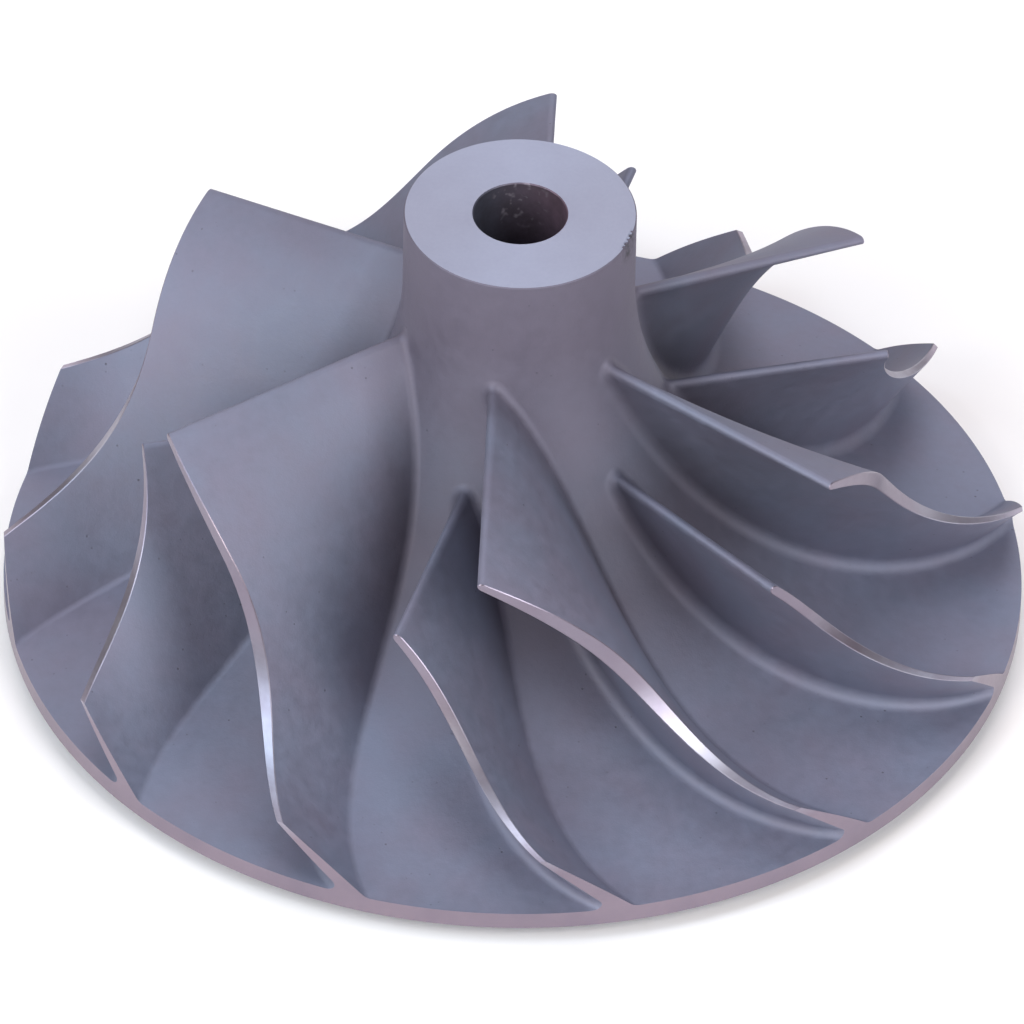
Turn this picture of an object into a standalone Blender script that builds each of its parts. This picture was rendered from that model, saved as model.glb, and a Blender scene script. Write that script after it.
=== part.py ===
"""Compressor wheel of a small turbocharger: one aluminium casting, machined where it runs.

A turned hub with a bored nose and a full back disc carries six full blades and six
splitter blades. The blades are swept surfaces, ruled between a root line on the hub and
an edge line along the housing. Nose up, the wheel stands on the flat pad of its back
disc, with its axis on +Z. Seen from the nose it turns clockwise.
"""

import math

import bmesh
import bpy
import numpy as np

# Driving dimensions in metres and degrees. Heights count from the back plane of the rim.
WHEEL_RADIUS = 0.035
BORE_RADIUS = 0.003175
NOSE_RADIUS = 0.0079
NOSE_HEIGHT = 0.0337
RIM_THICKNESS = 0.0012
PAD_RADIUS = 0.0085
PAD_DEPTH = 0.0012
PAD_FILLET = 0.0012

# The hub flares from the nose to the rim along a quarter ellipse.
HUB_FLARE_WIDTH = 0.0278
HUB_FLARE_HEIGHT = 0.0268

# The blades' outer edges run up the inlet bore of the housing, then flare out to the rim.
INLET_RADIUS = 0.026
EDGE_BEND_HEIGHT = 0.01715
EDGE_FLARE_WIDTH = 0.0112
EDGE_FLARE_HEIGHT = 0.01127

# Blades: where they start, how they turn, and how thick they are.
FULL_BLADES = 6
FIRST_BLADE_ANGLE = -95.0
LEADING_TIP_HEIGHT = 0.02268
LEADING_ROOT_HEIGHT = 0.02485
LEADING_ROOT_LAG = -7.0
SPLITTER_START = 0.264
ROOT_STATION_LAG = 0.29
EDGE_ANGLES = (66.0, 13.5, 40.5)
ROOT_ANGLES = (30.0, -7.0, 40.0)
FULL_EDGE_THICKNESS = (0.0006, 0.0017, 0.0007, 0.0003)
SPLITTER_EDGE_THICKNESS = (0.00045, 0.0010, 0.0006, 0.0003)
ROOT_THICKNESS = (0.0009, 0.0024, 0.0008)
LEADING_SHARPNESS = 0.6

# A root fillet as heights up the blade and widths beyond it, in shares of its radius.
FILLET_RADIUS = (0.0012, 0.0022, 0.0009)
FILLET_FOOT_WIDTH = 0.75
FILLET_MIDDLE = (0.3, 0.29)

# Stock that the machining takes off again, and how deep the blades are rooted in the hub.
RIM_STOCK = 0.001
BLADE_RIM_STOCK = 0.0016
EDGE_STOCK = 0.0008
ROOT_DEPTH = 0.0007
ROOT_CLEAR = 0.0001
TOOL_MARGIN = 0.005

# Resolution of the turned and the swept surfaces.
TURN_STEPS = 72
HUB_FLARE_STEPS = 14
EDGE_FLARE_STEPS = 10
PAD_FILLET_STEPS = 2
FULL_STATIONS = 13
SPLITTER_STATIONS = 10
LINE_SAMPLES = 400
MERGE_DISTANCE = 0.00001

FLARE_CENTRE = NOSE_RADIUS + HUB_FLARE_WIDTH
EDGE_FLARE_CENTRE = INLET_RADIUS + EDGE_FLARE_WIDTH


def clear_scene():
    """Take every object out of the scene."""
    for old in list(bpy.data.objects):
        bpy.data.objects.remove(old)


def make_collection(name):
    """Return a new collection linked to the scene."""
    collection = bpy.data.collections.new(name)
    bpy.context.scene.collection.children.link(collection)
    return collection


def aluminium():
    """Return the bare cast aluminium of the wheel."""
    material = bpy.data.materials.new("cast_aluminium")
    material.use_nodes = True
    shader = material.node_tree.nodes["Principled BSDF"]
    shader.inputs["Base Color"].default_value = (0.40, 0.40, 0.45, 1.0)
    shader.inputs["Roughness"].default_value = 0.42
    shader.inputs["Metallic"].default_value = 1.0
    return material


def hub_flare(first, last, count):
    """Radius and height on the hub's flare, for angles from 0 at the nose to 90 at the rim."""
    angle = np.linspace(first, last, count)
    radius = FLARE_CENTRE - HUB_FLARE_WIDTH * np.cos(angle)
    height = RIM_THICKNESS + HUB_FLARE_HEIGHT * (1.0 - np.sin(angle))
    return np.stack([radius, height], axis=1)


def edge_flare(count):
    """Radius and height on the flare of the blades' outer edges, from the bend to the rim."""
    last = math.acos((EDGE_FLARE_CENTRE - WHEEL_RADIUS) / EDGE_FLARE_WIDTH)
    angle = np.linspace(0.0, last, count)
    radius = EDGE_FLARE_CENTRE - EDGE_FLARE_WIDTH * np.cos(angle)
    height = EDGE_BEND_HEIGHT - EDGE_FLARE_HEIGHT * np.sin(angle)
    return np.stack([radius, height], axis=1)


def root_contour():
    """Radius and height along the blades' roots, from the leading edge to the rim."""
    drop = RIM_THICKNESS + HUB_FLARE_HEIGHT - LEADING_ROOT_HEIGHT
    first = math.asin(drop / HUB_FLARE_HEIGHT)
    last = math.acos((FLARE_CENTRE - WHEEL_RADIUS) / HUB_FLARE_WIDTH)
    return hub_flare(first, last, LINE_SAMPLES)


def edge_contour():
    """Radius and height along the blades' outer edges, from the leading tip to the rim."""
    heights = np.linspace(LEADING_TIP_HEIGHT, EDGE_BEND_HEIGHT, LINE_SAMPLES, endpoint=False)
    inlet = np.stack([np.full(LINE_SAMPLES, INLET_RADIUS), heights], axis=1)
    return np.vstack([inlet, edge_flare(LINE_SAMPLES)])


def length_along(line):
    """Distance from the line's start to each of its points."""
    steps = np.linalg.norm(np.diff(line, axis=0), axis=1)
    return np.concatenate([[0.0], np.cumsum(steps)])


def at_fractions(line, fractions):
    """Points at the given fractions of the line's length."""
    travelled = length_along(line)
    wanted = fractions * travelled[-1]
    return np.stack([np.interp(wanted, travelled, column) for column in line.T], axis=1)


def blend(values, fractions):
    """Run smoothly from the first value to the last, drawn toward those between."""
    while len(values) > 1:
        values = [a * (1.0 - fractions) + b * fractions for a, b in zip(values, values[1:])]
    return values[0]


def turned_angle(contour, fractions, blade_angles):
    """Angle about the axis: the blade angle's tangent, summed over length and radius."""
    slope = np.tan(np.radians(blend(blade_angles, fractions))) / contour[:, 0]
    steps = np.diff(length_along(contour)) * (slope[1:] + slope[:-1]) / 2.0
    return np.concatenate([[0.0], np.cumsum(steps)])


def to_space(contour, angle):
    """Turn radius, height and angle about the axis into points."""
    radius, height = contour.T
    return np.stack([radius * np.cos(angle), radius * np.sin(angle), height], axis=1)


def run_past_rim(line):
    """Add one point past the rim, in the direction of the line's last step."""
    step = line[-1] - line[-2]
    step *= BLADE_RIM_STOCK / np.linalg.norm(step)
    return np.vstack([line, line[-1] + step])


def blade_lines(start, stations):
    """Root line, edge line and station fractions of a blade, with its leading tip at angle 0."""
    fine = np.linspace(0.0, 1.0, LINE_SAMPLES)
    root_share = fine - ROOT_STATION_LAG * fine * (1.0 - fine)
    edge = at_fractions(edge_contour(), fine)
    root = at_fractions(root_contour(), root_share)
    edge_line = to_space(edge, turned_angle(edge, fine, EDGE_ANGLES))
    lag = math.radians(LEADING_ROOT_LAG)
    root_line = to_space(root, turned_angle(root, root_share, ROOT_ANGLES) + lag)
    chosen = np.linspace(start, 1.0, stations)
    pick = [np.stack([np.interp(chosen, fine, c) for c in line.T], axis=1)
            for line in (root_line, edge_line)]
    return run_past_rim(pick[0]), run_past_rim(pick[1]), np.append(chosen, 1.0)


def unit(vectors):
    """Scale each vector to length one."""
    return vectors / np.linalg.norm(vectors, axis=-1, keepdims=True)


def hub_normals(points):
    """Directions square to the hub's flare at points on it, out of the metal."""
    radius = np.linalg.norm(points[:, :2], axis=1)
    outward = points[:, :2] / radius[:, None]
    rise = (FLARE_CENTRE - radius) / HUB_FLARE_WIDTH**2
    drop = (RIM_THICKNESS + HUB_FLARE_HEIGHT - points[:, 2]) / HUB_FLARE_HEIGHT**2
    return unit(np.column_stack([outward * rise[:, None], drop]))


def blade_rows(span, radius):
    """Rows from below the root to past the edge: height along the span, and fillet width."""
    level = np.ones_like(span)
    foot = FILLET_FOOT_WIDTH * radius
    middle_height, middle_width = (share * radius for share in FILLET_MIDDLE)
    return [
        (-ROOT_DEPTH * level, foot),
        (ROOT_CLEAR * level, foot),
        (middle_height, middle_width),
        (radius, 0.0 * level),
        ((span + radius) / 2.0, 0.0 * level),
        (span + EDGE_STOCK, 0.0 * level),
    ]


def blade_mesh(name, start, stations, edge_thickness):
    """Loft a blade through rings of points, one ring for each row of its span."""
    root, edge, fractions = blade_lines(start, stations)
    along_root = unit(np.gradient(root, axis=0))
    along_edge = unit(np.gradient(edge, axis=0))
    up = unit(edge - root)
    across_root = unit(np.cross(along_root, hub_normals(root)))
    across_edge = unit(np.cross(along_edge, up))
    span = np.linalg.norm(edge - root, axis=1)
    own = (fractions - start) / (1.0 - start)
    rings = []
    for height, fillet in blade_rows(span, blend(FILLET_RADIUS, own)):
        share = (height / span)[:, None]
        along = unit((1.0 - share) * along_root + share * along_edge)
        across = unit((1.0 - share) * across_root + share * across_edge)
        thickness = (1.0 - share[:, 0]) * blend(ROOT_THICKNESS, own)
        thickness += share[:, 0] * blend(edge_thickness, own)
        half = thickness / 2.0
        half[0] *= LEADING_SHARPNESS
        centre = root + height[:, None] * up
        wide = (half + fillet)[:, None]
        nose = centre[0] - along[0] * wide[0]
        rings.append(np.vstack([[nose], centre + wide * across, (centre - wide * across)[::-1]]))
    work = bmesh.new()
    rows = [[work.verts.new(point) for point in ring] for ring in rings]
    around = len(rings[0])
    for lower, upper in zip(rows, rows[1:]):
        for i in range(around):
            j = (i + 1) % around
            work.faces.new((lower[i], lower[j], upper[j], upper[i]))
    for ring in (rows[0], rows[-1]):
        work.faces.new((ring[0], ring[1], ring[-1]))
        for i in range(1, around // 2):
            work.faces.new((ring[i], ring[i + 1], ring[-i - 1], ring[-i]))
    bmesh.ops.triangulate(work, faces=work.faces)
    bmesh.ops.recalc_face_normals(work, faces=work.faces)
    mesh = bpy.data.meshes.new(name)
    work.to_mesh(mesh)
    work.free()
    return mesh


def raised(profile):
    """Lift a profile from the rim's back plane to stand on the pad."""
    return [(radius, height + PAD_DEPTH) for radius, height in profile]


def hub_profile():
    """Outline of the hub, from the nose down the outside, across the back and up the bore."""
    outline = [(NOSE_RADIUS, NOSE_HEIGHT)]
    outline += [tuple(p) for p in hub_flare(0.0, math.pi / 2.0, HUB_FLARE_STEPS + 1)]
    outline += [(WHEEL_RADIUS + RIM_STOCK, RIM_THICKNESS), (WHEEL_RADIUS + RIM_STOCK, 0.0)]
    for i in range(PAD_FILLET_STEPS + 1):
        angle = math.pi / 2.0 * i / PAD_FILLET_STEPS
        outline.append((PAD_RADIUS + PAD_FILLET * (1.0 - math.sin(angle)),
                        -PAD_FILLET * (1.0 - math.cos(angle))))
    outline += [(BORE_RADIUS, -PAD_DEPTH), (BORE_RADIUS, NOSE_HEIGHT)]
    return raised(outline)


def machined_profile():
    """Outline of everything that the lathe leaves: the rim, and the space inside the housing."""
    outline = [(0.0, NOSE_HEIGHT + TOOL_MARGIN), (INLET_RADIUS, NOSE_HEIGHT + TOOL_MARGIN)]
    outline += [tuple(p) for p in edge_flare(EDGE_FLARE_STEPS + 1)]
    outline += [(WHEEL_RADIUS, -TOOL_MARGIN), (0.0, -TOOL_MARGIN)]
    return raised(outline)


def turn(name, profile, closed, collection):
    """Turn a profile about Z into a solid."""
    count = len(profile)
    edges = [(i, i + 1) for i in range(count - 1)]
    if closed:
        edges.append((count - 1, 0))
    mesh = bpy.data.meshes.new(name)
    mesh.from_pydata([(radius, 0.0, height) for radius, height in profile], edges, [])
    solid = bpy.data.objects.new(name, mesh)
    collection.objects.link(solid)
    screw = solid.modifiers.new("turning", "SCREW")
    screw.axis = "Z"
    screw.steps = TURN_STEPS
    screw.render_steps = TURN_STEPS
    screw.use_merge_vertices = True
    screw.merge_threshold = MERGE_DISTANCE
    screw.use_smooth_shade = True
    return solid


def hide_helper(helper):
    """Mark an object as a helper that is not part of the wheel."""
    helper.hide_render = True
    helper.display_type = "WIRE"


def combine(target, operation, tool):
    """Join a tool to the target, or cut the target by it."""
    step = target.modifiers.new(tool.name, "BOOLEAN")
    step.operation = operation
    step.solver = "EXACT"
    step.object = tool


def main():
    """Model the wheel: hub, blades, then the turned outside."""
    clear_scene()
    wheel_parts = make_collection("compressor_wheel")
    helpers = make_collection("blade_and_lathe_tools")
    wheel = turn("compressor_wheel", hub_profile(), True, wheel_parts)
    wheel.data.materials.append(aluminium())
    full = blade_mesh("full_blade", 0.0, FULL_STATIONS, FULL_EDGE_THICKNESS)
    splitter = blade_mesh("splitter_blade", SPLITTER_START, SPLITTER_STATIONS, SPLITTER_EDGE_THICKNESS)
    half_pitch = 180.0 / FULL_BLADES
    for i in range(2 * FULL_BLADES):
        shape = full if i % 2 == 0 else splitter
        blade = bpy.data.objects.new(f"{shape.name}_{i // 2 + 1}", shape)
        blade.location.z = PAD_DEPTH
        blade.rotation_euler.z = math.radians(FIRST_BLADE_ANGLE + i * half_pitch)
        helpers.objects.link(blade)
        hide_helper(blade)
        combine(wheel, "UNION", blade)
    envelope = turn("machined_envelope", machined_profile(), False, helpers)
    hide_helper(envelope)
    combine(wheel, "INTERSECT", envelope)


main()
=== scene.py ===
# %% [markdown]
# # A compressor wheel, cast in one piece and machined where it runs
# The wheel is one aluminium casting: a bored hub that flares into a disc, six full blades
# and six splitter blades. The lathe has cut its nose face, bore, rim, back and the outer
# edges of the blades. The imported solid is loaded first, as the fixed frame. The fine skin
# that is made below takes the place of that solid, and keeps its sizes.

# %% Load the frame
import math

import bmesh
import bpy
import numpy as np
from mathutils import Matrix, Vector
from mathutils.geometry import delaunay_2d_cdt


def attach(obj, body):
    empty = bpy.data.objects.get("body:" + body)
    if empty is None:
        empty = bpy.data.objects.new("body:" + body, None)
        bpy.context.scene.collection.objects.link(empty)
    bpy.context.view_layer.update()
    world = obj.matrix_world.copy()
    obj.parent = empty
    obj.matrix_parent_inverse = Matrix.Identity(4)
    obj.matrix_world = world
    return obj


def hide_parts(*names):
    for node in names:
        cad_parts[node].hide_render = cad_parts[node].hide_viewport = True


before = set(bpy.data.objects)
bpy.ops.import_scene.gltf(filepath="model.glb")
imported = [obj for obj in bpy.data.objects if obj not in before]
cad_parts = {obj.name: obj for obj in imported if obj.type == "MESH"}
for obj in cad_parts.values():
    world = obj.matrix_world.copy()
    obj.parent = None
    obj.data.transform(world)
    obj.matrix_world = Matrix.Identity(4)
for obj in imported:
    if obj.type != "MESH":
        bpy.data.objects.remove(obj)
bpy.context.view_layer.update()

# %% [markdown]
# ## Driving sizes
# A wheel like this is drawn from two curves in one plane through its axis: the hub's flare
# and the blades' outer edge. Both are a straight line that runs into a quarter of an
# ellipse. All heights count from the rim's back plane. The wheel stands on a pad that
# sticks out below that plane, so every point is lifted by the pad's depth at the end.

# %% Sizes of the hub and of the blades' outer edge, in metres
WHEEL_RADIUS = 0.035
RIM_THICKNESS = 0.0014
BORE_RADIUS = 0.003175
NOSE_RADIUS = 0.0079
NOSE_HEIGHT = 0.0337
PAD_RADIUS = 0.0085
PAD_DEPTH = 0.0012
FLARE_WIDTH, FLARE_HEIGHT = 0.0278, 0.0266
FLARE_CENTRE = NOSE_RADIUS + FLARE_WIDTH
FLARE_TOP = RIM_THICKNESS + FLARE_HEIGHT
INLET_RADIUS = 0.026
EDGE_BEND_HEIGHT = 0.01715
EDGE_WIDTH, EDGE_HEIGHT = 0.0112, 0.01127
EDGE_CENTRE = INLET_RADIUS + EDGE_WIDTH
SECTORS = 6


def flare(angle):
    """Radius and height on the hub: a quarter ellipse, its angle 0 at the nose, 90 at the rim."""
    return FLARE_CENTRE - FLARE_WIDTH * np.cos(angle), FLARE_TOP - FLARE_HEIGHT * np.sin(angle)


def edge_flare(angle):
    """Radius and height on the blades' outer edge below the bend, a quarter ellipse too."""
    return EDGE_CENTRE - EDGE_WIDTH * np.cos(angle), EDGE_BEND_HEIGHT - EDGE_HEIGHT * np.sin(angle)


# %% [markdown]
# ## The lines of a blade
# A foundry's wax dies make each blade as a ruled surface: straight rulings join a root line
# on the hub to an edge line along the housing. Each line is found by following its curve
# and turning about the axis as it goes. The turn for each step is the tangent of the blade
# angle, times the step, over the radius. The blade angle blends from a start over a middle
# to an end value, which gives the steep screw at the inlet and the swept-back exit.

# %% Root line and edge line
LEADING_TIP_HEIGHT = 0.02268
LEADING_ROOT_HEIGHT = 0.02485
ROOT_LAG = math.radians(-7.0)
ROOT_STATION_LAG = 0.29
EDGE_ANGLES = (66.0, 13.5, 40.5)
ROOT_ANGLES = (30.0, -7.0, 40.0)
FIRST_BLADE_ANGLE = math.radians(-95.0)
SPLITTER_START = 0.264
LINE_SAMPLES = 400
DENSE_STATIONS = 180
PAST_RIM = np.linspace(0.0, 0.0036, 19)[1:, None]


def unit(vectors):
    """Each vector over its own length."""
    return vectors / np.linalg.norm(vectors, axis=-1, keepdims=True)


def off_axis(points):
    """Distance from the wheel's axis."""
    return np.linalg.norm(points[..., :2], axis=-1)


def blend(values, share):
    """First value to last, drawn towards those between, by straight blends of blends."""
    while len(values) > 1:
        values = [a * (1 - share) + b * share for a, b in zip(values, values[1:])]
    return values[0]


def length_along(line):
    """Sum of the steps from the line's start to each point."""
    return np.concatenate([[0.0], np.cumsum(np.linalg.norm(np.diff(line, axis=0), axis=1))])


def resample(line, wanted, known):
    """Each column of the line, read at the wanted values of what is known along it."""
    return np.stack([np.interp(wanted, known, column) for column in line.T], axis=1)


def swept_line(contour, share, angles, lag):
    """Radius and height along the contour, turned by the sum of tan(angle) x step / radius."""
    travelled = length_along(contour)
    line = resample(contour, share * travelled[-1], travelled)
    slope = np.tan(np.radians(blend(angles, share))) / line[:, 0]
    steps = np.diff(length_along(line)) * (slope[1:] + slope[:-1]) / 2
    turn = lag + np.concatenate([[0.0], np.cumsum(steps)])
    return np.stack([line[:, 0] * np.cos(turn), line[:, 0] * np.sin(turn), line[:, 1]], axis=1)


def blade_lines(start):
    """Root and edge points at close stations, run straight on past the rim, and their shares."""
    first = math.asin((FLARE_TOP - LEADING_ROOT_HEIGHT) / FLARE_HEIGHT)
    last = math.acos((FLARE_CENTRE - WHEEL_RADIUS) / FLARE_WIDTH)
    hub = np.stack(flare(np.linspace(first, last, LINE_SAMPLES)), axis=1)
    last = math.acos((EDGE_CENTRE - WHEEL_RADIUS) / EDGE_WIDTH)
    drop = np.linspace(LEADING_TIP_HEIGHT, EDGE_BEND_HEIGHT, LINE_SAMPLES, endpoint=False)
    inlet = np.stack([np.full(LINE_SAMPLES, INLET_RADIUS), drop], axis=1)
    housing = np.vstack([inlet, np.stack(edge_flare(np.linspace(0, last, LINE_SAMPLES)), axis=1)])
    fine = np.linspace(0, 1, LINE_SAMPLES)
    root = swept_line(hub, fine - ROOT_STATION_LAG * fine * (1 - fine), ROOT_ANGLES, ROOT_LAG)
    edge = swept_line(housing, fine, EDGE_ANGLES, 0.0)
    share = np.linspace(start, 1.0, DENSE_STATIONS)
    root, edge = resample(root, share, fine), resample(edge, share, fine)
    root, edge = (np.vstack([line, line[-1] + PAST_RIM * unit(line[-1] - line[-2])])
                  for line in (root, edge))
    own = np.append((share - start) / (1 - start), np.ones(len(PAST_RIM)))
    return root, edge, own


root, edge, own = blade_lines(0.0)
span = np.linalg.norm(edge - root, axis=1) * 1000
print("full blade: span", round(span[0], 1), "mm at the inlet,",
      round(span[DENSE_STATIONS - 1], 1), "mm at the rim")

# %% [markdown]
# ## The walls of a blade
# A blade is not a sheet: it is thick at the root, thin at the edge, and round at its
# leading edge. One closed path runs round it, up one side, round the nose and down the
# other. Each point of the path is a station's centre plus its half thickness across the
# blade, and on the nose a part of that ahead of it, which draws half an ellipse.

# %% A blade's wall as a function of the path round it and the height above the root
EDGE_THICKNESS = (0.0006, 0.0017, 0.0007, 0.0003)
SPLITTER_THICKNESS = (0.00065, 0.0008, 0.0006, 0.0003)
ROOT_HALF_BEHIND = (0.00045, 0.0021, 0.0022, 0.0007)
ROOT_HALF_AHEAD = (0.00045, 0.0015, 0.0024, 0.00045)
NOSE_LENGTH = 1.5
NOSE_POINTS = 13
SET_BACK, SET_BACK_SHARE = 0.8, 0.06


def hub_normals(points):
    """Directions square to the flare at points on it: the slope of the ellipse's equation."""
    radius = off_axis(points)
    out = points[:, :2] / radius[:, None] * ((FLARE_CENTRE - radius) / FLARE_WIDTH**2)[:, None]
    return unit(np.column_stack([out, (FLARE_TOP - points[:, 2]) / FLARE_HEIGHT**2]))


def by_side(behind, ahead, own, side):
    """A measure that differs on the two sides, blended along each and mixed over the nose."""
    return (blend(behind, own) * (1 - side) + blend(ahead, own) * (1 + side)) / 2


def walls(start):
    """A function of path index and height, with span, share and side for each path point.

    Wall = root + height x ruling + half thickness x (side x across - ahead x along). The first
    stations are drawn back along the blade, so that the nose ends on the drawn leading edge."""
    root, edge, own = blade_lines(start)
    edge_thickness = SPLITTER_THICKNESS if start else EDGE_THICKNESS
    span = np.linalg.norm(edge - root, axis=1)
    up = (edge - root) / span[:, None]
    along_root, along_edge = (unit(np.gradient(line, axis=0)) for line in (root, edge))
    across_root = unit(np.cross(along_root, hub_normals(root)))
    across_edge = unit(np.cross(along_edge, up))
    stations = np.arange(len(root))
    lean = np.radians(np.linspace(-90, 90, NOSE_POINTS)[1:-1])
    at = np.concatenate([stations[::-1], np.zeros(len(lean), int), stations])
    side = np.concatenate([-np.ones(len(root)), np.sin(lean), np.ones(len(root))])
    ahead = np.concatenate([np.zeros(len(root)), NOSE_LENGTH * np.cos(lean), np.zeros(len(root))])
    ahead = ahead - SET_BACK * NOSE_LENGTH * np.clip(1 - own[at] / SET_BACK_SHARE, 0, 1)
    root_half = by_side(ROOT_HALF_BEHIND, ROOT_HALF_AHEAD, own[at], side)[:, None, None]

    def wall(height):
        """Wall points for heights given as an array with one row for each path point."""
        share = (height / span[at][:, None])[..., None]
        across = unit((1 - share) * across_root[at][:, None] + share * across_edge[at][:, None])
        along = unit((1 - share) * along_root[at][:, None] + share * along_edge[at][:, None])
        half = (1 - share) * root_half + share * blend(edge_thickness, own)[at][:, None, None] / 2
        centre = root[at][:, None] + height[..., None] * up[at][:, None]
        return centre + half * (side[:, None, None] * across - ahead[:, None, None] * along)

    return wall, span[at], own[at], side


wall, span, own, side = walls(0.0)
print("path round a full blade:", len(span), "points")

# %% [markdown]
# ## The round at a blade's foot
# The pattern maker runs a ball along the corner between blade and hub, and fills what it
# can't reach. Here the ball's centre is the wall point pushed out by the ball's radius. It
# climbs the wall until its distance from the hub is that radius too. The ball then touches
# the hub at the foot of the round and the wall at its top, and the round is the arc on the
# ball between the two. It meets both without a crease.

# %% Distances to the hub and to the housing
def flare_angle(radius, height):
    """Angle on the hub's ellipse nearest a point: stepped by slope / bend until it is square."""
    x, y = FLARE_CENTRE - radius, FLARE_TOP - height
    angle = np.arctan2(y / FLARE_HEIGHT, x / FLARE_WIDTH)
    for _ in range(5):
        cos, sin = np.cos(angle), np.sin(angle)
        off_x, off_y = FLARE_WIDTH * cos - x, FLARE_HEIGHT * sin - y
        slope = -off_x * FLARE_WIDTH * sin + off_y * FLARE_HEIGHT * cos
        bend = (FLARE_WIDTH * sin)**2 + (FLARE_HEIGHT * cos)**2
        bend = bend - off_x * FLARE_WIDTH * cos - off_y * FLARE_HEIGHT * sin
        angle = angle - slope / bend
    return angle


def placed(points, share, height):
    """Points with their distance from the axis times a share, at new heights."""
    return np.concatenate([points[..., :2] * share[..., None], height[..., None]], axis=-1)


def nearest_on_hub(points):
    """The closest points of the hub; past the end of its ellipse the hub is a flat disc."""
    radius = off_axis(points)
    on_radius, on_height = flare(flare_angle(radius, points[..., 2]))
    flat = radius > FLARE_CENTRE
    on_radius = np.where(flat, radius, on_radius)
    on_height = np.where(flat, RIM_THICKNESS, on_height)
    return placed(points, on_radius / radius, on_height)


def above_hub(points):
    """Distance from the hub, less than nothing inside the metal."""
    near, radius = nearest_on_hub(points), off_axis(points)
    x, y = (FLARE_CENTRE - radius) / FLARE_WIDTH, (FLARE_TOP - points[..., 2]) / FLARE_HEIGHT
    inside = np.where(radius > FLARE_CENTRE, points[..., 2] < RIM_THICKNESS, x**2 + y**2 > 1)
    return np.linalg.norm(points - near, axis=-1) * np.where(inside, -1, 1)


def edge_place(points):
    """Radius, offsets from the edge ellipse's centre, and 1 on the ellipse, more outside it."""
    radius = off_axis(points)
    x, y = EDGE_CENTRE - radius, EDGE_BEND_HEIGHT - points[..., 2]
    return radius, x, y, np.hypot(x / EDGE_WIDTH, np.maximum(y, 0) / EDGE_HEIGHT)


def past_edge(points):
    """How far points lie past the blades' outer edge: past the inlet bore, or the ellipse."""
    radius, _, y, ring = edge_place(points)
    return np.where(y > 0, EDGE_WIDTH * (1 - ring), radius - INLET_RADIUS)


def onto_edge(points):
    """Points moved onto the turned outer edge: radius set, or pulled along the ellipse's ray."""
    radius, x, y, ring = edge_place(points)
    new_radius = np.where(y > 0, EDGE_CENTRE - x / ring, INLET_RADIUS)
    new_height = np.where(y > 0, EDGE_BEND_HEIGHT - y / ring, points[..., 2])
    return placed(points, new_radius / radius, new_height)


print("edge line, off the hub:", (above_hub(edge[[0, -1]]) * 1000).round(1), "mm")

# %% Where a value crosses zero along rows
def crossing(values):
    """Place of the first step from below to above zero in each row, as index plus fraction."""
    after = np.argmax(values > 0, axis=1)
    rows = np.arange(len(values))
    low, high = values[rows, after - 1], values[rows, after]
    return after - 1 + low / (low - high)


def at_place(grid, place):
    """Rows of a grid read at an index plus fraction, in a straight line between neighbours."""
    low = place.astype(int)
    rest = (place - low)[:, None]
    rows = np.arange(len(grid))
    return grid[rows, low] * (1 - rest) + grid[rows, low + 1] * rest


# %% The blade's skin: round, wall, broken edge
FOOT_RADIUS_BEHIND, FOOT_RADIUS_AHEAD = (0.0007, 0.0007, 0.0007), (0.0009, 0.0012, 0.0005)
EDGE_BREAK = 0.00005
CLIMB = (-0.001, 0.0045)
ROUND_STEPS, WALL_STEPS = 7, 22


def outward(grid):
    """Directions out of a wall: across the step along the path and the step up."""
    return unit(np.cross(np.gradient(grid, axis=0), np.gradient(grid, axis=1)))


def blade_skin(start):
    """Rows of points from the foot of the round up to the middle of the outer edge's border.

    Round = ball centre - ball radius x a direction that swings from the hub's to the wall's."""
    wall, span, own, side = walls(start)
    ball = by_side(FOOT_RADIUS_BEHIND, FOOT_RADIUS_AHEAD, own, side)[:, None, None]
    height = np.tile(np.linspace(*CLIMB, 111), (len(span), 1))
    grid = wall(height)
    normal = outward(grid)
    centres = grid + ball * normal
    stop = crossing(above_hub(centres) - ball[..., 0])
    centre = at_place(centres, stop)
    to_wall = -unit(at_place(normal, stop))
    to_hub = -unit(centre - nearest_on_hub(centre))
    swing = np.arccos(np.clip((to_wall * to_hub).sum(axis=1), -1, 1))[:, None, None]
    share = np.linspace(0, 1, ROUND_STEPS + 1)[None, :, None]
    arc = (np.sin((1 - share) * swing) * to_hub[:, None] + np.sin(share * swing) * to_wall[:, None])
    foot = centre[:, None] + ball * arc / np.sin(swing)
    top_height = span[:, None] * np.linspace(0.8, 1.2, 81)
    top = at_place(top_height[..., None], crossing(past_edge(wall(top_height))))
    low = at_place(height[..., None], stop)
    share = np.linspace(0, 1, WALL_STEPS + 1)[None, 1:]
    heights = low + (top - EDGE_BREAK - low) * share
    side = wall(heights)
    lip = wall(np.concatenate([top - EDGE_BREAK, top], axis=1))
    border = onto_edge(lip[:, 1] - EDGE_BREAK * outward(lip)[:, 1])
    return np.concatenate([foot, side, border[:, None]], axis=1)


skin = blade_skin(0.0)
print("rows up a blade:", skin.shape[1], "points round it:", skin.shape[0])

# %% [markdown]
# ## Trimming at the rim
# The lathe cuts the blades' ends flush with the rim. Every row of the skin is followed to
# the point where it reaches the wheel's radius, and its stations are spread evenly up to
# there. So all rows end on one cylinder, and the end faces can be filled between them.

# %% Spread the rows again, from the nose to the rim
FULL_STATIONS, SPLITTER_STATIONS = 66, 50
CLOSER_AT_NOSE = 0.35


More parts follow.
